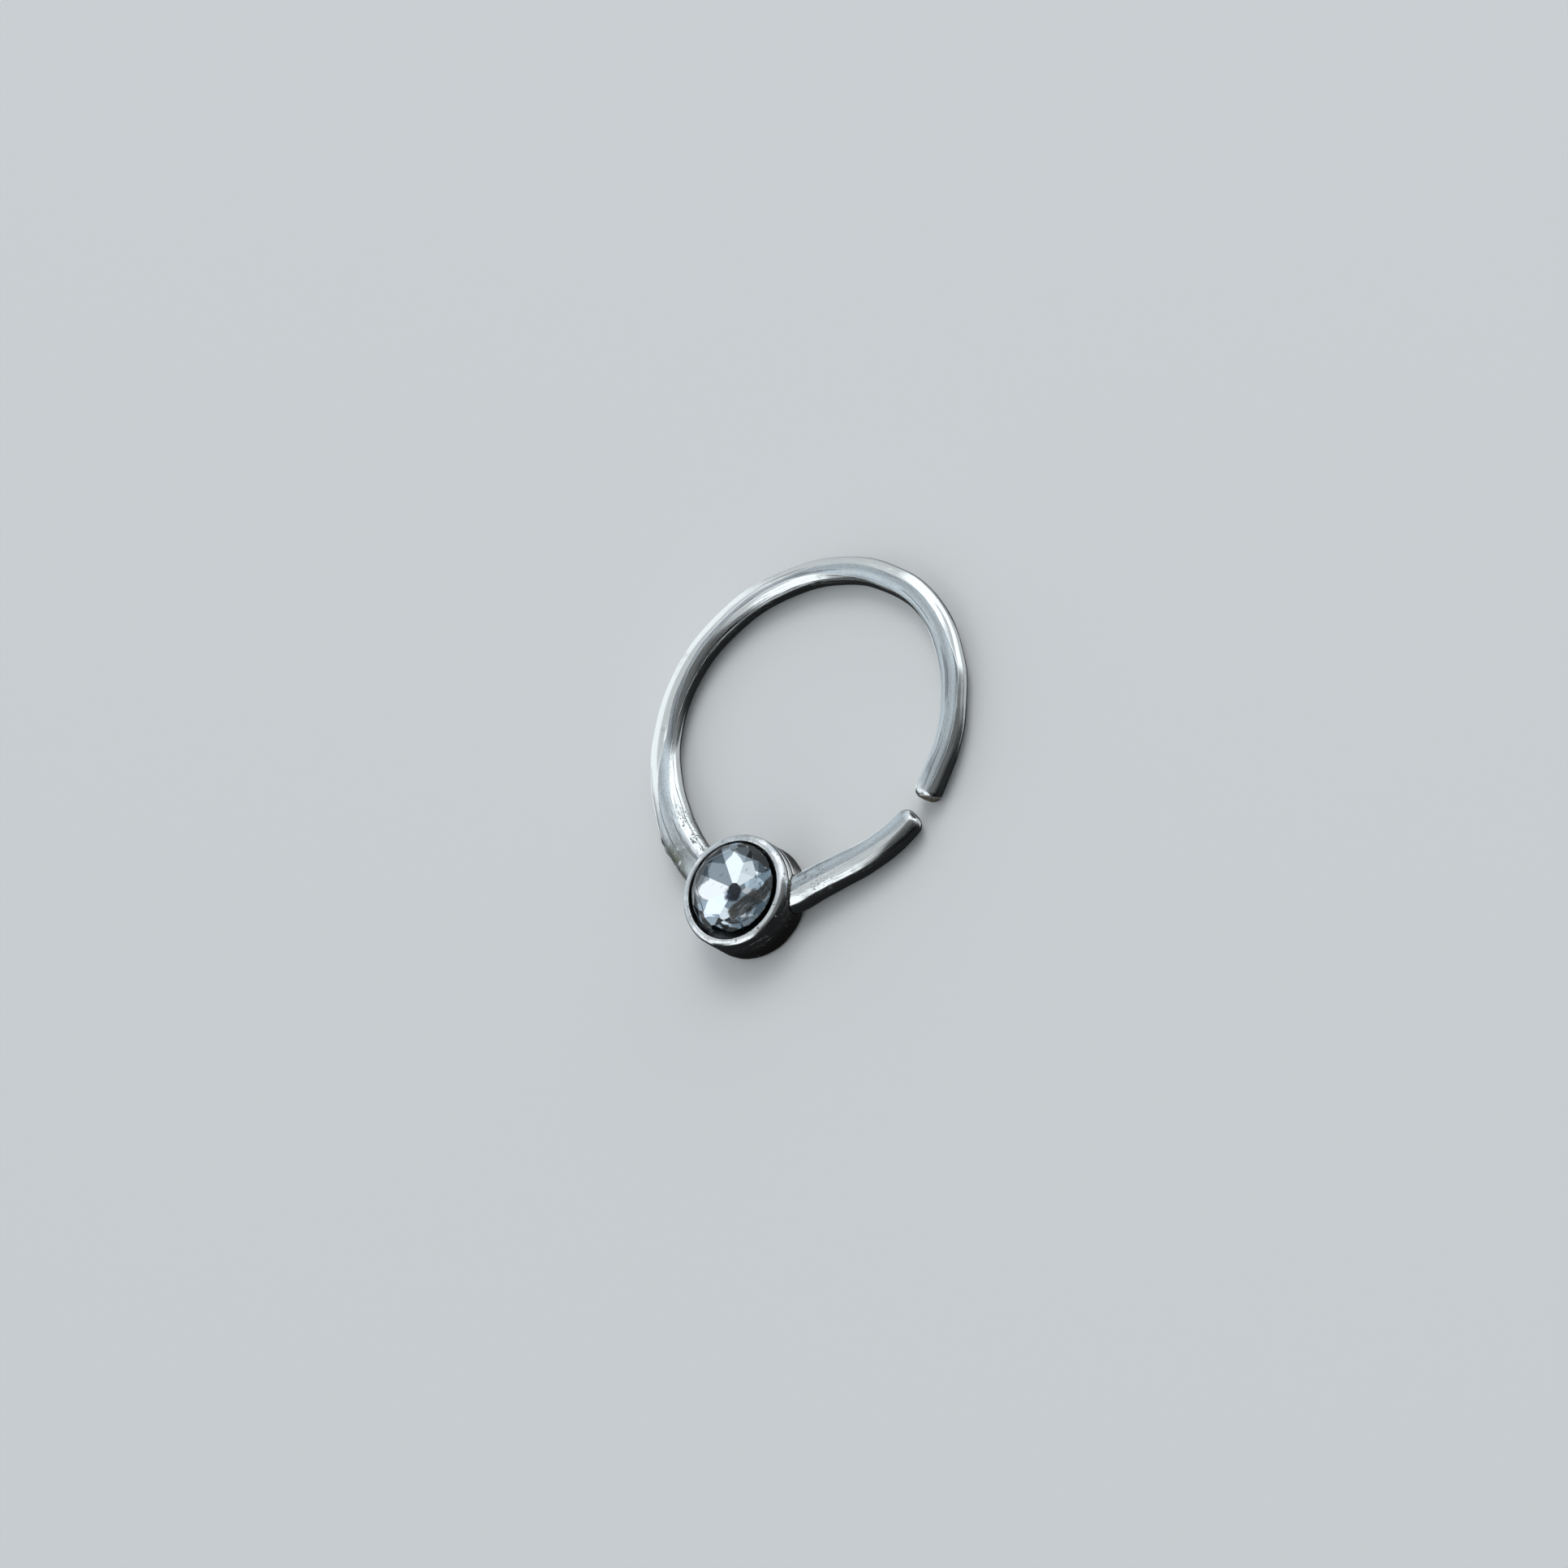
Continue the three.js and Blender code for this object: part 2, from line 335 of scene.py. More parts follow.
def makeCup(values):
    radius = values["radius"]
    half = values["grooveWidth"] / 2
    firstTop = values["grooveHeights"][0] - half
    bpy.ops.mesh.primitive_cylinder_add(vertices=values["sides"], radius=radius, depth=firstTop,
                                        location=(0, 0, firstTop / 2))
    cup = bpy.context.object
    cup.name = "cup"
    settle()

    # Each turned ring is a step in and a step out, and the wall runs on between them
    startEdit(cup)
    top = firstTop
    pickFaces(cup, lambda middle, normal: normal.z > 0.9)

    def raiseTop(height, scale):
        bpy.ops.mesh.extrude_region_move(TRANSFORM_OT_translate={"value": (0, 0, height)})
        bpy.ops.transform.resize(value=(scale, scale, 1), center_override=(0, 0, 0))

    deep = (radius - values["grooveDepth"]) / radius
    for grooveHeight in values["grooveHeights"]:
        if grooveHeight - half > top + 0.001:
            raiseTop(grooveHeight - half - top, 1)
        raiseTop(half, deep)
        raiseTop(half, 1 / deep)
        top = grooveHeight + half
    raiseTop(values["height"] - top, 1)
    bpy.ops.mesh.inset(thickness=values["wall"])
    raiseTop(values["floor"] - values["height"], 1)

    # Rubbed edges
    bore = radius - values["wall"]
    rim = values["height"] - 0.001
    rubbed = (
        (lambda place: place.z > rim and place.xy.length > bore + 0.05, values["rimRounding"]),
        (lambda place: place.z > rim and place.xy.length < bore + 0.05, values["rimBevel"]),
        (lambda place: place.z < 0.001, values["backRounding"]),
    )
    for rule, rounding in rubbed:
        pickEdges(cup, lambda a, b: rule(a) and rule(b))
        bpy.ops.mesh.bevel(offset=rounding, segments=values["roundingSteps"], profile=0.5)
    pickEdges(cup, lambda a, b: abs(a.z - b.z) > 0.3)
    bpy.ops.mesh.subdivide(number_cuts=values["wallSteps"])
    endEdit()
    cup.location = cupMiddle
    settle()

    def roundTheCup(place):
        away = (place - cupMiddle).xy
        return (*(away.normalized() * radius), place.z - away.length)

    keepOwnPlace(cup, roundTheCup)
    applyModifier(cup, "DISPLACE", texture=cloudTexture("cupHand", values["handSize"]),
                  strength=values["handDepth"], mid_level=0.5, texture_coords="LOCAL")
    return cup


cup = makeCup(cupValues)
print("cup turned")


# Solder
solderValues = {
    "wireShare": 0.75,      # how far out along the wire the joint is worked
    "cupShare": 0.9,
    "voxel": 0.028,
    "flow": 52,             # the more passes, the wider the fillet
    "sink": -0.008,
    "lumpSize": 0.12,
    "lumpDepth": 0.03,
}


def solderJoint(name, wire, outward, values):
    onlyPick(cup, wire)
    bpy.ops.object.duplicate()
    bpy.ops.object.join()
    joint = bpy.context.object
    joint.name = name
    startEdit(joint)
    wallFace = cupValues["radius"]
    for distance, away in ((wallFace + values["wireShare"], False), (values["cupShare"], True)):
        bpy.ops.mesh.select_all(action="SELECT")
        bpy.ops.mesh.bisect(plane_co=cupMiddle + outward * distance, plane_no=outward, use_fill=True,
                            clear_outer=not away, clear_inner=away, threshold=0.0001)
    endEdit()
    applyModifier(joint, "REMESH", mode="VOXEL", voxel_size=values["voxel"])
    applyModifier(joint, "SMOOTH", factor=0.5, iterations=values["flow"])
    applyModifier(joint, "DISPLACE", strength=values["sink"], mid_level=0)
    applyModifier(joint, "DISPLACE", texture=cloudTexture(name + "Lumps", values["lumpSize"], 2),
                  strength=values["lumpDepth"], mid_level=0.75, texture_coords="LOCAL")
    return joint


leftSolder = solderJoint("leftSolder", longWire, leftRoot, solderValues)
rightSolder = solderJoint("rightSolder", shortWire, rightRoot, solderValues)
print("joints soldered", len(leftSolder.data.polygons), len(rightSolder.data.polygons))


# Crystal
crystalValues = {
    "diameter": 2.68,
    "girdleHeight": 0.07,
    "girdleSides": 32,
    "crownHeight": 0.22,
    "crownAngle": 37,
    "crownHalfSteeper": 6.5,
    "starFlatter": 12,
    "pavilionAngle": 15,
    "turn": 16,
    "offMiddle": (0.035, 0.045, 0),    # it was set a little to one side
}


def cutFacets(count, turn, angle, reach, height, toward):
    # One flat at a time, all round: a bisect that takes the outside off and closes the cut
    for index in range(count):
        around = math.radians(crystalValues["turn"] + (index + turn) * 360 / count)
        tilt = math.radians(angle)
        outward = Vector((math.cos(around) * math.sin(tilt), math.sin(around) * math.sin(tilt),
                          toward * math.cos(tilt)))
        touch = Vector((math.cos(around) * reach, math.sin(around) * reach, height))
        bpy.ops.mesh.select_all(action="SELECT")
        bpy.ops.mesh.bisect(plane_co=touch, plane_no=outward, use_fill=True, clear_outer=True,
                            threshold=0.00001)


def makeCrystal(values):
    radius = values["diameter"] / 2
    low = crystalLow.z
    table = crystalHigh.z
    girdleTop = table - values["crownHeight"]
    girdleBottom = girdleTop - values["girdleHeight"]
    bpy.ops.mesh.primitive_cylinder_add(vertices=values["girdleSides"], radius=radius,
                                        depth=table - low, location=(0, 0, (table + low) / 2))
    stone = bpy.context.object
    stone.name = "crystalStone"
    settle()
    halfReach = radius * math.cos(math.pi / 16)
    starAngle = values["crownAngle"] - values["starFlatter"]
    tableReach = radius - values["crownHeight"] / math.tan(math.radians(values["crownAngle"]))
    starReach = (tableReach * math.cos(math.pi / 8)
                 + values["crownHeight"] / math.tan(math.radians(starAngle)))
    startEdit(stone)
    cutFacets(8, 0, values["crownAngle"], radius, girdleTop, 1)
    cutFacets(16, 0.5, values["crownAngle"] + values["crownHalfSteeper"], halfReach, girdleTop, 1)
    cutFacets(8, 0.5, starAngle, starReach, girdleTop, 1)
    cutFacets(8, 0, values["pavilionAngle"], radius, girdleBottom, -1)
    bpy.ops.mesh.select_all(action="SELECT")
    bpy.ops.mesh.remove_doubles(threshold=0.0005)
    bpy.ops.mesh.normals_make_consistent(inside=False)
    endEdit()
    stone.location = cupMiddle + Vector(values["offMiddle"])
    settle()
    return stone, girdleBottom


stone, foilTop = makeCrystal(crystalValues)
print("crystal cut", len(stone.data.polygons))


# Shader helpers
def addNode(tree, kind, settings=None, **inputs):
    node = tree.nodes.new(kind)
    for name, value in (settings or {}).items():
        setattr(node, name, value)
    for name, value in inputs.items():
        socket = node.inputs[int(name[5:])] if name.startswith("input") else node.inputs[name]
        if isinstance(value, bpy.types.NodeSocket):
            tree.links.new(value, socket)
        else:
            socket.default_value = value
    return node


def operationNode(tree, kind, operation, values):
    inputs = {"input" + str(index): value for index, value in enumerate(values)}
    return addNode(tree, kind, {"operation": operation}, **inputs).outputs


def mathNode(tree, operation, *values):
    return operationNode(tree, "ShaderNodeMath", operation, values)[0]


def vectorNode(tree, operation, output, *values):
    return operationNode(tree, "ShaderNodeVectorMath", operation, values)[output]


def timesNode(tree, first, second):
    return mathNode(tree, "MULTIPLY", first, second)


def plusNode(tree, first, second):
    return mathNode(tree, "ADD", first, second)


def minusNode(tree, first, second):
    return mathNode(tree, "SUBTRACT", first, second)


def rangeNode(tree, value, low, high, newLow=0.0, newHigh=1.0):
    ends = {"From Min": low, "From Max": high, "To Min": newLow, "To Max": newHigh}
    return addNode(tree, "ShaderNodeMapRange", {"interpolation_type": "SMOOTHSTEP"}, Value=value,
                   **ends).outputs[0]


def blendNode(tree, mask, first, second, blend="MIX"):
    return addNode(tree, "ShaderNodeMix", {"data_type": "RGBA", "blend_type": blend},
                   input0=mask, input6=first, input7=second).outputs[2]


def noiseNode(tree, place, scale, detail=3.0, roughness=0.55):
    return addNode(tree, "ShaderNodeTexNoise", None, Vector=place, Scale=scale, Detail=detail,
                   Roughness=roughness).outputs["Fac"]


def unevenNode(tree, place, scale, detail, amount, roughness=0.55):
    # Noise round zero, to make a limit wander
    noise = noiseNode(tree, place, scale, detail, roughness)
    return timesNode(tree, minusNode(tree, noise, 0.5), amount)


def rampNode(tree, source, stops):
    node = addNode(tree, "ShaderNodeValToRGB", None, Fac=source)
    ramp = node.color_ramp
    while len(ramp.elements) < len(stops):
        ramp.elements.new(0.5)
    for element, (position, colour) in zip(ramp.elements, stops):
        element.position = position
        element.color = (*colour, 1)
    return node.outputs["Color"]


def newGroup(name, inputs, outputs):
    # A node group: its named sockets, and the nodes that they begin and end at
    tree = bpy.data.node_groups.new(name, "ShaderNodeTree")
    for way, sockets in (("INPUT", inputs), ("OUTPUT", outputs)):
        for socketName, kind, value in sockets:
            socket = tree.interface.new_socket(socketName, in_out=way, socket_type="NodeSocket" + kind)
            if value is not None:
                socket.default_value = value
    return tree, addNode(tree, "NodeGroupInput").outputs, addNode(tree, "NodeGroupOutput")


def useGroup(tree, group, **inputs):
    return addNode(tree, "ShaderNodeGroup", {"node_tree": group}, **inputs).outputs


# Lines left by the draw plate, the file and the polishing brush. The place comes in already
# stretched along the way that the tool went.
def makeToolLines():
    tree, given, out = newGroup(
        "toolLines",
        [("Place", "Vector", None), ("Fineness", "Float", 10.0), ("Sharpness", "Float", 0.5)],
        [("Height", "Float", None), ("Streaks", "Float", None)])
    fine = noiseNode(tree, given["Place"], given["Fineness"], 4.0, 0.65)
    broad = noiseNode(tree, given["Place"], timesNode(tree, given["Fineness"], 0.3), 2.0)
    edge = minusNode(tree, 0.62, timesNode(tree, given["Sharpness"], 0.08))
    groove = rangeNode(tree, fine, edge, plusNode(tree, edge, 0.05))
    ridge = rangeNode(tree, mathNode(tree, "ABSOLUTE", minusNode(tree, broad, 0.5)), 0.018, 0.002)
    height = plusNode(tree, timesNode(tree, fine, 0.4), timesNode(tree, broad, 0.5))
    height = minusNode(tree, height, timesNode(tree, groove, 0.25))
    height = plusNode(tree, height, timesNode(tree, ridge, 0.12))
    tree.links.new(height, out.inputs["Height"])
    tree.links.new(groove, out.inputs["Streaks"])
    return tree


# The fine grain of silver that was pickled or cast and not polished
def makeSatin():
    tree, given, out = newGroup(
        "satin",
        [("Place", "Vector", None), ("Fineness", "Float", 22.0), ("Cover", "Float", 0.5),
         ("Bright", "Color", (0.95, 0.96, 0.96, 1)), ("Dull", "Color", (0.5, 0.55, 0.6, 1))],
        [("Color", "Color", None), ("Height", "Float", None)])
    grain = noiseNode(tree, given["Place"], given["Fineness"], 3.0, 0.7)
    speck = rangeNode(tree, grain, 0.3, 0.75)
    mask = timesNode(tree, given["Cover"], rangeNode(tree, speck, 0.0, 1.0, 1.0, 0.6))
    tree.links.new(blendNode(tree, mask, given["Bright"], given["Dull"]), out.inputs["Color"])
    tree.links.new(timesNode(tree, grain, given["Cover"]), out.inputs["Height"])
    return tree


# Small ragged holes, thick in some spots and missing in others
def makePits():
    tree, given, out = newGroup(
        "pits",
        [("Place", "Vector", None), ("Fineness", "Float", 8.0), ("Cover", "Float", 0.5)],
        [("Height", "Float", None), ("Mask", "Float", None)])
    grain = noiseNode(tree, given["Place"], given["Fineness"], 4.0, 0.6)
    patch = noiseNode(tree, given["Place"], timesNode(tree, given["Fineness"], 0.2), 2.0)
    edge = minusNode(tree, 0.82, timesNode(tree, given["Cover"], 0.2))
    edge = minusNode(tree, edge, rangeNode(tree, patch, 0.4, 0.6, 0.0, 0.1))
    mask = rangeNode(tree, grain, edge, plusNode(tree, edge, 0.04))
    tree.links.new(minusNode(tree, 1.0, mask), out.inputs["Height"])
    tree.links.new(mask, out.inputs["Mask"])
    return tree


# Thin scratches along the way that the place is stretched
def makeScratches():
    tree, given, out = newGroup(
        "scratches",
        [("Place", "Vector", None), ("Fineness", "Float", 6.0), ("Amount", "Float", 0.5)],
        [("Mask", "Float", None)])
    total = 0.0
    for share in (1.0, 1.7):
        line = noiseNode(tree, given["Place"], timesNode(tree, given["Fineness"], share), 0.0)
        near = mathNode(tree, "ABSOLUTE", minusNode(tree, line, 0.5))
        total = mathNode(tree, "MAXIMUM", total, rangeNode(tree, near, 0.012, 0.0))
    gate = noiseNode(tree, given["Place"], timesNode(tree, given["Fineness"], 0.5), 2.0)
    gate = rangeNode(tree, gate, 0.45, 0.6)
    total = timesNode(tree, total, timesNode(tree, gate, given["Amount"]))
    tree.links.new(total, out.inputs["Mask"])
    return tree


# Clean silver and the grey and brown film on it
def makeTarnish():
    tree, given, out = newGroup(
        "tarnish",
        [("Place", "Vector", None), ("Fineness", "Float", 1.2), ("Amount", "Float", 0.4),
         ("Clean", "Color", (0.93, 0.94, 0.93, 1)), ("Film", "Color", (0.42, 0.40, 0.36, 1))],
        [("Color", "Color", None), ("Mask", "Float", None)])
    cloud = noiseNode(tree, given["Place"], given["Fineness"], 5.0, 0.6)
    low = minusNode(tree, 0.72, timesNode(tree, given["Amount"], 0.35))
    mask = rangeNode(tree, cloud, low, plusNode(tree, low, 0.2))
    mask = timesNode(tree, mask, given["Amount"])
    tree.links.new(blendNode(tree, mask, given["Clean"], given["Film"]), out.inputs["Color"])
    tree.links.new(mask, out.inputs["Mask"])
    return tree


toolLines = makeToolLines()
satin = makeSatin()
pits = makePits()
scratches = makeScratches()
tarnish = makeTarnish()


def makeMaterial(name):
    material = bpy.data.materials.new(name)
    material.use_nodes = True
    return material, material.node_tree, material.node_tree.nodes["Principled BSDF"]


def mappedNode(tree, place, **settings):
    return addNode(tree, "ShaderNodeMapping", None, Vector=place, **settings).outputs["Vector"]


def axesNode(tree, place):
    return addNode(tree, "ShaderNodeSeparateXYZ", None, Vector=place).outputs


def ownPlace(tree, stretch):
    mark = addNode(tree, "ShaderNodeAttribute", {"attribute_name": "ownPlace"}).outputs["Vector"]
    return mappedNode(tree, mark, Scale=stretch)


def placeInMm(tree, middle=(0, 0, 0)):
    # Object coordinates from a middle, both in millimetres
    place = addNode(tree, "ShaderNodeTexCoord").outputs["Object"]
    return mappedNode(tree, place, Scale=(1000, 1000, 1000), Location=[-value for value in middle])


def flatLength(tree, place):
    # How far out from the middle, seen from above
    flat = vectorNode(tree, "MULTIPLY", "Vector", place, (1, 1, 0))
    return vectorNode(tree, "LENGTH", "Value", flat)


def nearNode(tree, spot):
    length = vectorNode(tree, "LENGTH", "Value", placeInMm(tree, spot["at"]))
    return rangeNode(tree, length, spot["gone"], spot["full"])


def roughenNode(tree, rough, *masks):
    for mask, share in masks:
        rough = plusNode(tree, rough, timesNode(tree, mask, share))
    return rough


def bumpLayers(tree, *layers):
    # Heights and how many microns each stands for, one bump over the other
    normal = None
    for height, micron in layers:
        node = addNode(tree, "ShaderNodeBump", None, Height=height, Distance=micron * 0.000001)
        if normal is not None:
            tree.links.new(normal, node.inputs["Normal"])
        normal = node.outputs["Normal"]
    return normal


def finishMetal(tree, shader, colour, rough, normal):
    shader.inputs["Metallic"].default_value = 1
    for socket, name in ((colour, "Base Color"), (rough, "Roughness"), (normal, "Normal")):
        tree.links.new(socket, shader.inputs[name])


# Silver wire: polished, with a duller band on its upper inner side that the wheel left out. A spot
# has a place and two distances from it, in millimetres, at which it is full and gone.
wireSilverValues = {
    "clean": (0.96, 0.97, 0.96, 1),
    "film": (0.44, 0.43, 0.40, 1),
    "dull": (0.52, 0.57, 0.61, 1),
    "brownEnd": (0.15, 0.115, 0.08, 1),
    "grime": (0.15, 0.15, 0.11, 1),
    "darkLine": (0.12, 0.13, 0.14, 1),
    "roughness": 0.13,
    "dullRoughness": 0.2,
    "lineDepth": 5.0,            # microns
    "lineFineness": 8.5,
    "grainDepth": 3.5,
    "grainFineness": 34.0,
    "pitDepth": 14.0,
    "pitFineness": 24.0,
    "scratchDepth": 1.5,
    "scratchFineness": 5.0,
    "filmFineness": 1.3,
    "bandWander": 16.0,          # degrees
    "shortWireFrom": 28.0,       # millimetres along: past this it is the short wire
    "leftPits": {"at": (-2.1, -3.1, 1.0), "full": 0.5, "gone": 1.6},
    "rightPits": {"at": (2.2, -3.3, 0.9), "full": 0.3, "gone": 0.9},
    "brownSpot": {"at": (4.72, -0.42, 0.28), "full": 0.42, "gone": 0.5},
    "clearOfTip": {"at": (4.72, -0.42, 0.28), "full": 0.8, "gone": 0.5},
    "darkOliveSpot": {"at": (-2.5, -4.05, 0.5), "full": 0.5, "gone": 1.15},
}


# The dull band: millimetres along the wire, the degrees that its middle is up from the inner side
# of the hoop, and half its width in degrees
dullBand = (
    {"along": 0, "lean": 104, "half": 46},
    {"along": 2.2, "lean": 104, "half": 46},
    {"along": 3.6, "lean": 84, "half": 26},
    {"along": 5.7, "lean": 50, "half": 15},
    {"along": 8, "lean": 66, "half": 7},
    {"along": 12, "lean": 84, "half": 9},
    {"along": 14.5, "lean": 76, "half": 30},
    {"along": 18, "lean": 76, "half": 38},
    {"along": 19.5, "lean": 88, "half": 50},
    {"along": 23, "lean": 82, "half": 44},
    {"along": 30, "lean": 72, "half": 30},       # the short wire
    {"along": 36, "lean": 72, "half": 30},
)


def degreesPastBand(tree, along, up, wander):
    # How many degrees round the wire a place is outside the dull band, and below zero inside it
    wireEnd = dullBand[-1]["along"]
    share = mathNode(tree, "DIVIDE", along, wireEnd)
    bandRamps = []
    for what in ("lean", "half"):
        stops = [(row["along"] / wireEnd, [row[what] / 100] * 3) for row in dullBand]
        bandRamps.append(timesNode(tree, rampNode(tree, share, stops), 100.0))
    lean, half = bandRamps
    uneven = unevenNode(tree, ownPlace(tree, (0.35, 1, 1)), 1.6, 4.0, wander, 0.6)
    off = mathNode(tree, "ABSOLUTE", minusNode(tree, plusNode(tree, up, uneven), lean))
    return minusNode(tree, off, half)


def makeWireSilver(values):
    material, tree, shader = makeMaterial("drawnSilver")
    place = placeInMm(tree)
    ownAxes = axesNode(tree, ownPlace(tree, (1, 1, 1)))
    up = mathNode(tree, "ARCTAN2", ownAxes["Z"], timesNode(tree, ownAxes["Y"], -1.0))
    up = timesNode(tree, up, 180 / math.pi)
    off = degreesPastBand(tree, ownAxes["X"], up, values["bandWander"])

    # Where each finish is
    inside = rangeNode(tree, up, 62.0, 50.0)     # the pits lie inside the dull band, on the inner side
    atLeftRoot = nearNode(tree, values["leftPits"])
    atRightRoot = timesNode(tree, nearNode(tree, values["rightPits"]), 0.5)
    nearRoots = timesNode(tree, atLeftRoot, plusNode(tree, 0.25, timesNode(tree, inside, 0.75)))
    nearRoots = mathNode(tree, "MAXIMUM", nearRoots, atRightRoot)
    awayFromTip = nearNode(tree, values["clearOfTip"])
    band = rangeNode(tree, off, 2.0, -3.0)
    band = timesNode(tree, band, minusNode(tree, 1.0, timesNode(tree, atLeftRoot, 0.25)))
    band = timesNode(tree, band, awayFromTip)
    lip = rangeNode(tree, mathNode(tree, "ABSOLUTE", off), 3.5, 0.5)
    lip = timesNode(tree, lip, awayFromTip)
    cloud = rangeNode(tree, noiseNode(tree, place, 5.0, 4.0), 0.35, 0.5, 0.4, 1.0)
    brown = timesNode(tree, nearNode(tree, values["brownSpot"]), cloud)
    brown = timesNode(tree, brown, mathNode(tree, "LESS_THAN", ownAxes["X"], values["shortWireFrom"]))
    cloud = rangeNode(tree, noiseNode(tree, place, 3.5, 5.0, 0.65), 0.33, 0.47)
    # A dark olive patch on the outer side of the left root, by the cup
    grime = timesNode(tree, nearNode(tree, values["darkOliveSpot"]), cloud)

    drawn = useGroup(tree, toolLines, Place=ownPlace(tree, (0.035, 1, 1)),
                     Fineness=values["lineFineness"], Sharpness=0.5)
    film = useGroup(tree, tarnish, Place=place, Fineness=values["filmFineness"], Amount=0.45,
                    Clean=values["clean"], Film=values["film"])
    grain = useGroup(tree, satin, Place=ownPlace(tree, (0.6, 1, 1)), Fineness=values["grainFineness"],
                     Cover=band, Bright=film["Color"], Dull=values["dull"])
    rubbed = useGroup(tree, scratches, Place=ownPlace(tree, (0.05, 1, 1)),
                      Fineness=values["scratchFineness"], Amount=0.8)
    holes = useGroup(tree, pits, Place=ownPlace(tree, (0.7, 1, 1)), Fineness=values["pitFineness"],
                     Cover=0.95)
    pitted = timesNode(tree, holes["Mask"], nearRoots)
    streaks = timesNode(tree, drawn["Streaks"], timesNode(tree, awayFromTip, 0.55))

    colour = blendNode(tree, brown, grain["Color"], values["brownEnd"])
    colour = blendNode(tree, timesNode(tree, grime, 0.92), colour, values["grime"])
    colour = blendNode(tree, streaks, colour, values["darkLine"])
    colour = blendNode(tree, lip, colour, values["clean"])
    colour = blendNode(tree, pitted, colour, values["darkLine"])
    rough = roughenNode(tree, values["roughness"], (band, values["dullRoughness"]), (streaks, 0.3),
                        (film["Mask"], 0.25), (rubbed["Mask"], 0.2), (pitted, 0.3), (grime, 0.2),
                        (brown, 0.25))
    rough = minusNode(tree, rough, timesNode(tree, lip, 0.08))
    lines = plusNode(tree, drawn["Height"], timesNode(tree, lip, 0.9))
    normal = bumpLayers(
        tree, (timesNode(tree, lines, awayFromTip), values["lineDepth"]),
        (grain["Height"], values["grainDepth"]),
        (minusNode(tree, 1.0, pitted), values["pitDepth"]),
        (minusNode(tree, 1.0, rubbed["Mask"]), values["scratchDepth"]))
    finishMetal(tree, shader, colour, rough, normal)
    tree.links.new(minusNode(tree, 1.0, timesNode(tree, brown, 0.75)), shader.inputs["Metallic"])
    return material


# Silver of the cup: turned, rubbed over the stone and grey where no brush gets in, with painted shade
cupSilverValues = {
    "clean": (0.95, 0.96, 0.96, 1),
    "film": (0.40, 0.39, 0.37, 1),
    "lowFilmAndShade": (0.24, 0.19, 0.16, 1),
    "dull": (0.62, 0.65, 0.68, 1),
    "nick": (0.2, 0.2, 0.2, 1),
    "shadedDullSide": (-0.87, 0.5, 0),     # the way to the rim's painted-darker, duller side, from the cup's middle
    "roughness": 0.15,
    "lineDepth": 3.0,
    "lineFineness": 6.5,
    "grainDepth": 5.0,
    "grainFineness": 18.0,
    "nickDepth": 12.0,
    "nickFineness": 8.0,
    "scratchDepth": 1.5,
    "scratchFineness": 5.0,
    "filmFineness": 1.6,
}


def makeCupSilver(values):
    material, tree, shader = makeMaterial("bezelSilver")
    place = placeInMm(tree)
    # Painted shade with tarnish: the wall's colour goes browner and darker towards the bottom
    low = rangeNode(tree, axesNode(tree, place)["Z"], 1.0, 0.4, 0.0, 0.75)
    # Painted shade: dull colour and roughness gather towards the rim's far side, over uneven satin
    # noise
    toward = vectorNode(tree, "DOT_PRODUCT", "Value", placeInMm(tree, cupMiddle), values["shadedDullSide"])
    cloud = plusNode(tree, timesNode(tree, toward, 0.09), noiseNode(tree, place, 1.4, 4.0))
    cloud = rangeNode(tree, cloud, 0.46, 0.6)
    turned = useGroup(tree, toolLines, Place=ownPlace(tree, (0.3, 0.3, 2.2)),
                      Fineness=values["lineFineness"], Sharpness=0.4)
    film = useGroup(tree, tarnish, Place=place, Fineness=values["filmFineness"], Amount=0.45,
                    Clean=blendNode(tree, low, values["clean"], values["lowFilmAndShade"]),
                    Film=values["film"])
    grain = useGroup(tree, satin, Place=place, Fineness=values["grainFineness"], Cover=cloud,
                     Bright=film["Color"], Dull=values["dull"])
    rubbed = useGroup(tree, scratches, Place=ownPlace(tree, (0.06, 0.06, 1)),
                      Fineness=values["scratchFineness"], Amount=0.8)
    nicks = useGroup(tree, pits, Place=place, Fineness=values["nickFineness"], Cover=0.5)
    colour = blendNode(tree, timesNode(tree, turned["Streaks"], 0.4), grain["Color"], values["nick"])
    colour = blendNode(tree, timesNode(tree, nicks["Mask"], 0.7), colour, values["nick"])
    rough = roughenNode(tree, values["roughness"], (cloud, 0.17), (film["Mask"], 0.3),
                        (turned["Streaks"], 0.15), (rubbed["Mask"], 0.25))
    normal = bumpLayers(
        tree, (turned["Height"], values["lineDepth"]), (grain["Height"], values["grainDepth"]),
        (nicks["Height"], values["nickDepth"]),
        (minusNode(tree, 1.0, rubbed["Mask"]), values["scratchDepth"]))
    finishMetal(tree, shader, colour, rough, normal)
    return material


# Painted shade: the inside of the cup, under and round the crystal, coloured near black
boreSilverValues = {
    "clean": (0.10, 0.105, 0.11, 1),
    "film": (0.02, 0.02, 0.022, 1),
    "roughness": 0.3,
    "lineDepth": 4.0,
}


def makeBoreSilver(values):
    material, tree, shader = makeMaterial("boreSilver")
    film = useGroup(tree, tarnish, Place=placeInMm(tree), Fineness=3.0, Amount=0.9,
                    Clean=values["clean"], Film=values["film"])
    turned = useGroup(tree, toolLines, Place=ownPlace(tree, (0.4, 0.4, 3)), Fineness=7.0,
                      Sharpness=0.5)
    rough = roughenNode(tree, values["roughness"], (film["Mask"], 0.2))
    normal = bumpLayers(tree, (turned["Height"], values["lineDepth"]))
    finishMetal(tree, shader, film["Color"], rough, normal)
    return material
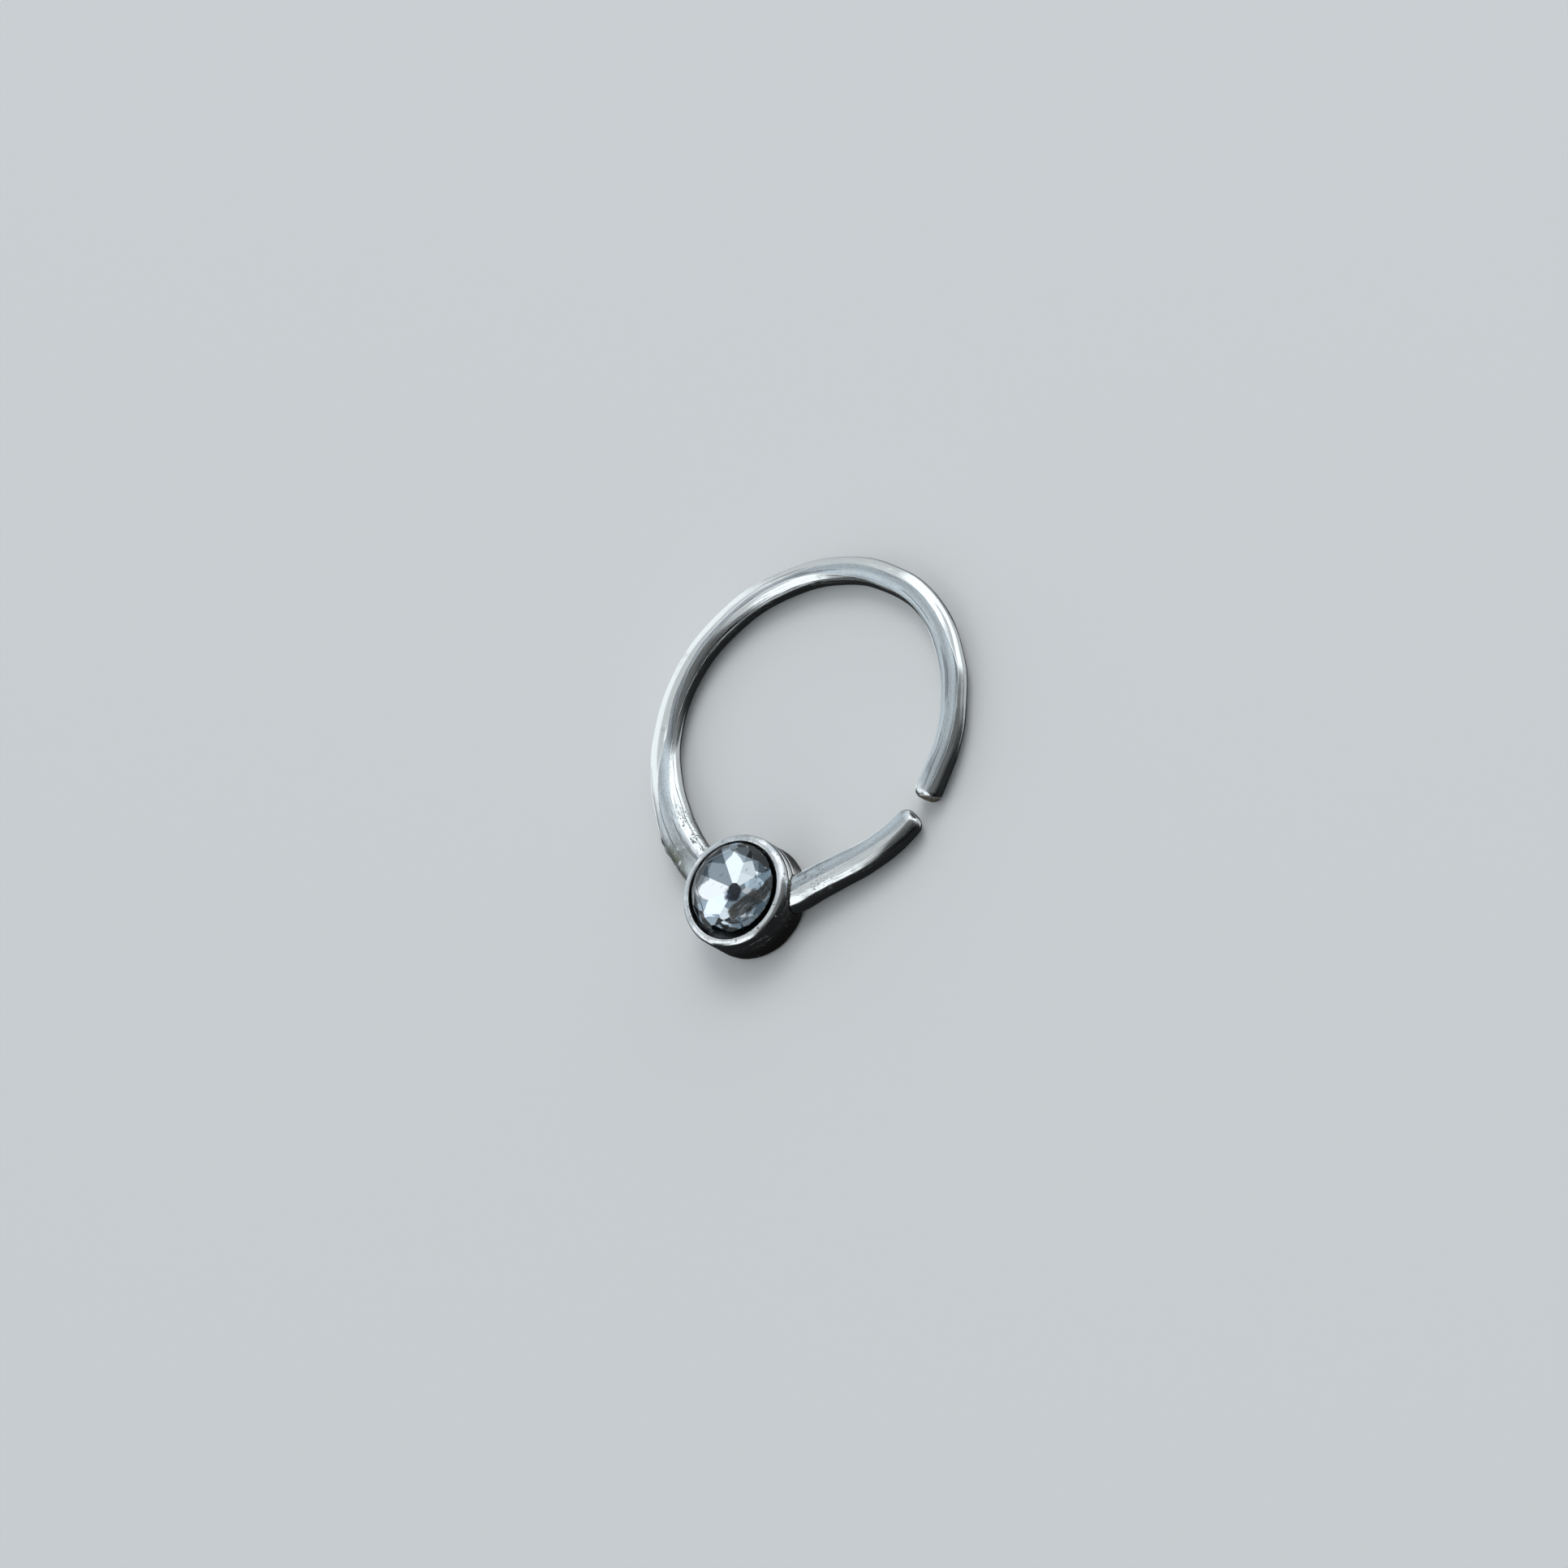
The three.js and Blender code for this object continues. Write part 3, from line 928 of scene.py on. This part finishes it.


# Solder: duller and greyer than the silver, with pin holes and dirt, and painted shade where it meets
# the cup
solderSilverValues = {
    "clean": (0.74, 0.74, 0.70, 1),
    "film": (0.13, 0.13, 0.10, 1),
    "pitAndShade": (0.05, 0.05, 0.045, 1),
    "roughness": 0.26,
    "pitDepth": 25.0,
    "grainDepth": 10.0,
    "shadeLineAt": 1.77,           # how far out from the cup's middle the painted shade line runs
}


def makeSolderSilver(values):
    material, tree, shader = makeMaterial("solderSilver")
    place = placeInMm(tree)
    film = useGroup(tree, tarnish, Place=place, Fineness=2.6, Amount=0.95, Clean=values["clean"],
                    Film=values["film"])
    holes = useGroup(tree, pits, Place=place, Fineness=10.0, Cover=0.95)
    grain = noiseNode(tree, place, 14.0, 4.0, 0.6)
    # Painted shade: a dark line where the joint meets the cup's wall, in the pits' colour
    fromCrevice = minusNode(tree, flatLength(tree, placeInMm(tree, cupMiddle)), values["shadeLineAt"])
    crevice = rangeNode(tree, mathNode(tree, "ABSOLUTE", fromCrevice), 0.11, 0.03)
    dark = mathNode(tree, "MAXIMUM", holes["Mask"], timesNode(tree, crevice, 0.9))
    colour = blendNode(tree, dark, film["Color"], values["pitAndShade"])
    rough = roughenNode(tree, values["roughness"], (film["Mask"], 0.25), (holes["Mask"], 0.3))
    normal = bumpLayers(tree, (grain, values["grainDepth"]), (holes["Height"], values["pitDepth"]))
    finishMetal(tree, shader, colour, rough, normal)
    return material


drawnSilver = makeWireSilver(wireSilverValues)
bezelSilver = makeCupSilver(cupSilverValues)
boreSilver = makeBoreSilver(boreSilverValues)
solderSilver = makeSolderSilver(solderSilverValues)
for piece, material in ((longWire, drawnSilver), (shortWire, drawnSilver), (cup, bezelSilver),
                        (leftSolder, solderSilver), (rightSolder, solderSilver)):
    piece.data.materials.clear()
    piece.data.materials.append(material)
    onlyPick(piece)
    bpy.ops.object.shade_smooth_by_angle(angle=math.radians(40))
# The inside wall and floor of the cup take the near-black painted shade
cup.data.materials.append(boreSilver)
boreEdge = cupValues["radius"] - cupValues["wall"] + 0.02
boreTop = cupValues["height"] - 0.06
for face in cup.data.polygons:
    away = (face.center - cupMiddle).xy.length
    if away < boreEdge and cupValues["floor"] - 0.05 < face.center.z < boreTop:
        face.material_index = 1


# Crystal: clear glass with a foil under its flats, whose colour holds painted light and shade
glassValues = {
    "colour": (0.97, 0.985, 1, 1),
    "index": 1.45,
    "scratchFineness": 4.0,
    "scratchTurn": 0.6,          # radians
    "scratchRoughness": 0.12,
    "scratchDepth": 0.5,         # microns
}
# azimuth of each flat under the stone: the painted light and shade in its foil, for how bright it
# looks
foilShades = {
    331: (0.87, 0.93, 0.99),
    286: (0.99, 0.98, 0.99),
    241: (0.50, 0.58, 0.64),
    196: (0.93, 0.97, 0.99),
    151: (0.93, 0.97, 0.99),
    106: (0.90, 0.94, 0.96),
    61: (0.75, 0.80, 0.83),
    16: (0.70, 0.75, 0.78),
}
foilValues = {
    "roughness": 0.03,
    "smear": (0.085, 0.079, 0.07, 1),
    "smearTurn": 50,             # the scuffed band across the foil, then how far out it is,
    "smearAt": 0.66,             # how wide and where it ends
    "smearHalf": 0.22,
    "smearEnd": -0.45,
    "bareSpot": (0.02, 0.028, 0.045, 1),
    "paintedDarkSpotFilm": (0.06, 0.07, 0.09, 1),
    "darkSpotAt": (0.07, -0.08, 0),  # from the cup's middle
    "darkSpotInside": 0.2,
    "darkSpotOutside": 0.34,
    "edgeShadeFrom": 1.1,           # past this the foil is painted darker by the cup's wall, a painted shade,
    "edgeShadeTo": 1.14,
    "edgeShadeNotch": 0.3,          # and further in where two flats meet
    "edgePaintedShade": (0.36, 0.4, 0.43, 1),
}


def makeGlass(values):
    material, tree, shader = makeMaterial("cutGlass")
    slanted = mappedNode(tree, placeInMm(tree), Scale=(0.05, 1, 1),
                         Rotation=(0, 0, values["scratchTurn"]))
    rubbed = useGroup(tree, scratches, Place=slanted, Fineness=values["scratchFineness"], Amount=0.5)
    tree.links.new(timesNode(tree, rubbed["Mask"], values["scratchRoughness"]),
                   shader.inputs["Roughness"])
    tree.links.new(bumpLayers(tree, (minusNode(tree, 1.0, rubbed["Mask"]), values["scratchDepth"])),
                   shader.inputs["Normal"])
    shader.inputs["Base Color"].default_value = values["colour"]
    shader.inputs["Transmission Weight"].default_value = 1
    shader.inputs["IOR"].default_value = values["index"]
    return material


def smearMask(tree, place, values):
    turned = mappedNode(tree, place, Rotation=(0, 0, -math.radians(values["smearTurn"])))
    streak = noiseNode(tree, mappedNode(tree, turned, Scale=(0.9, 5, 1)), 2.2, 5.0, 0.65)
    axes = axesNode(tree, turned)
    bend = unevenNode(tree, place, 1.6, 3.0, 0.5)
    fromBand = minusNode(tree, minusNode(tree, bend, axes["Y"]), values["smearAt"])
    smear = rangeNode(tree, mathNode(tree, "ABSOLUTE", fromBand), values["smearHalf"] + 0.05,
                      values["smearHalf"] - 0.05)
    ended = rangeNode(tree, plusNode(tree, axes["X"], bend), values["smearEnd"],
                      values["smearEnd"] + 0.12)
    smear = timesNode(tree, smear, ended)
    smear = timesNode(tree, smear, rangeNode(tree, streak, 0.34, 0.5, 0.75, 1.0))
    return mathNode(tree, "MAXIMUM", smear, rangeNode(tree, streak, 0.62, 0.7, 0.0, 0.5))


def bareMask(tree, place, values):
    fromSpot = flatLength(tree, placeInMm(tree, cupMiddle + Vector(values["darkSpotAt"])))
    fromSpot = plusNode(tree, fromSpot, unevenNode(tree, place, 4.0, 3.0, 0.25))
    return rangeNode(tree, fromSpot, values["darkSpotOutside"], values["darkSpotInside"])


def rubbedMask(tree, place, values):
    # Star shaped painted shade: the foil's dark edge reaches in least far down the middle of each flat
    halfFlat = 22.5      # degrees
    axes = axesNode(tree, place)
    around = mathNode(tree, "ARCTAN2", axes["Y"], axes["X"])
    around = timesNode(tree, around, 180 / math.pi / halfFlat)
    around = minusNode(tree, around, crystalValues["turn"] / halfFlat)
    notch = timesNode(tree, mathNode(tree, "PINGPONG", around, 1.0), values["edgeShadeNotch"])
    away = plusNode(tree, flatLength(tree, place), notch)
    away = plusNode(tree, away, unevenNode(tree, place, 1.4, 2.0, 0.35))
    return rangeNode(tree, away, values["edgeShadeFrom"], values["edgeShadeTo"])


def makeFoil(values):
    material, tree, shader = makeMaterial("foil")
    place = placeInMm(tree, cupMiddle)
    smear = smearMask(tree, place, values)
    bare = bareMask(tree, place, values)
    # Painted light and shade: each flat's foil brightness
    shade = addNode(tree, "ShaderNodeAttribute", {"attribute_name": "foilShade"}).outputs["Color"]
    # Painted shade: the foil darkens in a star shaped ring by the cup's wall
    thin = blendNode(tree, 1.0, shade, values["edgePaintedShade"], "MULTIPLY")
    shade = blendNode(tree, rubbedMask(tree, place, values), shade, thin)
    colour = blendNode(tree, smear, shade, values["smear"])
    # Painted reflection: a dark spot on the foil round the stone's point
    colour = blendNode(tree, bare, colour, values["bareSpot"])
    tree.links.new(colour, shader.inputs["Base Color"])
    tree.links.new(roughenNode(tree, values["roughness"], (smear, 0.2)), shader.inputs["Roughness"])
    shader.inputs["Metallic"].default_value = 1
    return material


def makeBareSpot(values):
    # The point of the stone, painted a mottled dark blue: a painted dark reflection
    material, tree, shader = makeMaterial("bareSpot")
    film = useGroup(tree, tarnish, Place=placeInMm(tree), Fineness=6.0, Amount=0.8,
                    Clean=values["bareSpot"], Film=values["paintedDarkSpotFilm"])
    tree.links.new(film["Color"], shader.inputs["Base Color"])
    tree.links.new(roughenNode(tree, 0.15, (film["Mask"], 0.2)), shader.inputs["Roughness"])
    shader.inputs["Specular IOR Level"].default_value = 0.1
    return material


stone.data.materials.clear()
for material in (makeGlass(glassValues), makeFoil(foilValues), makeBareSpot(foilValues)):
    stone.data.materials.append(material)
# Each face takes the painted light and shade of its nearest flat
shades = stone.data.color_attributes.new("foilShade", "FLOAT_COLOR", "CORNER")
for face in stone.data.polygons:
    away = face.center - cupMiddle
    azimuth = (math.degrees(math.atan2(away.y, away.x)) + 90) % 360
    nearest = min(foilShades, key=lambda flat: abs((azimuth - flat + 180) % 360 - 180))
    for corner in face.loop_indices:
        shades.data[corner].color = (*foilShades[nearest], 1)
    # Under the girdle the foil, and on the flat point the painted dark spot
    if face.normal.z < -0.3 and face.center.z < foilTop:
        face.material_index = 2 if face.normal.z < -0.999 else 1
print("materials made", len(bpy.data.materials))


# The silver is one body
onlyPick(cup, longWire, shortWire, leftSolder, rightSolder)
bpy.ops.object.join()
hoopWithCup = bpy.context.object
hoopWithCup.name = "hoopWithCup"
print("silver joined", sum(len(face.vertices) - 2 for face in hoopWithCup.data.polygons), "triangles")
bringToMetres(hoopWithCup)
bringToMetres(stone)
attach(hoopWithCup, "root")
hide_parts("hoop_with_cup")
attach(stone, "root")
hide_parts("crystal")


# Floor and light
stageValues = {
    "floorSize": 1.2,
    "floorDrop": 0.00001,
    "floorColour": (0.8, 0.8, 0.8, 1),
    "keyAzimuth": 190,
    "keyElevation": 52,
    "keyDistance": 0.5,
    "keySize": 0.25,
    "keyPower": 0.5,
    "domeAzimuth": 192.7,
    "domeElevation": 50.7,
    "patchAzimuth": 85.4,        # a darker patch of sky
    "patchElevation": 23.6,
    "patchFrom": 0.77,
    "patchFull": 0.87,
    "patchLevel": 0.25,
    "windowSoftness": 0.06,
    "tint": (0.93, 1.0, 1.04),
    "domeStrength": 1.15,
    "backdrop": (0.55, 0.56, 0.57, 1),
}


def direction(azimuth, elevation):
    around = math.radians(azimuth)
    up = math.radians(elevation)
    return Vector((math.sin(around) * math.cos(up), -math.cos(around) * math.cos(up), math.sin(up)))


bpy.ops.mesh.primitive_plane_add(size=stageValues["floorSize"],
                                 location=(0, 0, -stageValues["floorDrop"]))
floor = bpy.context.object
floor.name = "floor"
floor.visible_glossy = False
floorPaint, tree, shader = makeMaterial("floorPaint")
shader.inputs["Base Color"].default_value = stageValues["floorColour"]
shader.inputs["Roughness"].default_value = 0.9
shader.inputs["Specular IOR Level"].default_value = 0.1
floor.data.materials.append(floorPaint)

keyWay = direction(stageValues["keyAzimuth"], stageValues["keyElevation"])
bpy.ops.object.light_add(type="AREA", radius=1, location=keyWay * stageValues["keyDistance"],
                         rotation=keyWay.to_track_quat("Z", "Y").to_euler())
keyLight = bpy.context.object
keyLight.name = "keyLight"
keyLight.data.size = stageValues["keySize"]
keyLight.data.energy = stageValues["keyPower"]
keyLight.visible_glossy = False
keyLight.visible_transmission = False


# The studio seen in the silver: a dome that is dark low on the camera's side, and soft windows.
# Each window is a rectangle of the sky: its middle, its half sizes in degrees and its brightness.
domeLevels = (0.01, 0.012, 0.015, 0.02, 0.04, 0.11, 0.25, 0.42, 0.46, 0.47, 0.48, 0.48, 0.48)
windows = (
    {"azimuth": 172, "elevation": 14, "width": 31, "height": 37, "level": 1.0},
    {"azimuth": 258, "elevation": -4, "width": 17, "height": 44, "level": 0.8},
    {"azimuth": 328, "elevation": 54, "width": 21, "height": 9, "level": 0.95},
    {"azimuth": 156, "elevation": -46, "width": 18, "height": 20, "level": 0.42},
    {"azimuth": 150, "elevation": 64, "width": 14, "height": 8, "level": 0.95},
    {"azimuth": 302, "elevation": 20, "width": 21, "height": 23, "level": 0.85},
    {"azimuth": 7, "elevation": 33, "width": 23, "height": 19, "level": 0.95},
)


def makeDome(values):
    world = bpy.data.worlds.new("studio")
    scene.world = world
    world.use_nodes = True
    tree = world.node_tree
    background = tree.nodes["Background"]
    way = addNode(tree, "ShaderNodeTexCoord").outputs["Generated"]
    tint = Vector(values["tint"])

    def toward(axis):
        return vectorNode(tree, "DOT_PRODUCT", "Value", way, axis)

    def facing(azimuth, elevation):
        return addNode(tree, "ShaderNodeMapRange", None, Value=toward(direction(azimuth, elevation)),
                       **{"From Min": -1}).outputs[0]

    stops = [(index / (len(domeLevels) - 1), tint * level) for index, level in enumerate(domeLevels)]
    seen = rampNode(tree, facing(values["domeAzimuth"], values["domeElevation"]), stops)
    for window in windows:
        ahead = direction(window["azimuth"], window["elevation"])
        right = direction(window["azimuth"] + 90, 0)
        mask = mathNode(tree, "GREATER_THAN", toward(ahead), 0.0)
        for axis, half in ((right, "width"), (ahead.cross(right), "height")):
            side = mathNode(tree, "ABSOLUTE", toward(axis))
            edge = math.sin(math.radians(window[half]))
            soft = values["windowSoftness"]
            mask = timesNode(tree, mask, rangeNode(tree, side, edge + soft, edge - soft))
        seen = blendNode(tree, mask, seen, (*(tint * window["level"]), 1))
    stops = [(values["patchFrom"], (1, 1, 1)), (values["patchFull"], [values["patchLevel"]] * 3)]
    patch = rampNode(tree, facing(values["patchAzimuth"], values["patchElevation"]), stops)
    seen = blendNode(tree, 1.0, seen, patch, "MULTIPLY")
    cameraRay = addNode(tree, "ShaderNodeLightPath").outputs["Is Camera Ray"]
    final = blendNode(tree, cameraRay, seen, values["backdrop"])
    tree.links.new(final, background.inputs["Color"])
    background.inputs["Strength"].default_value = values["domeStrength"]


makeDome(stageValues)
scene.view_settings.view_transform = "Standard"
print("floor and light set")
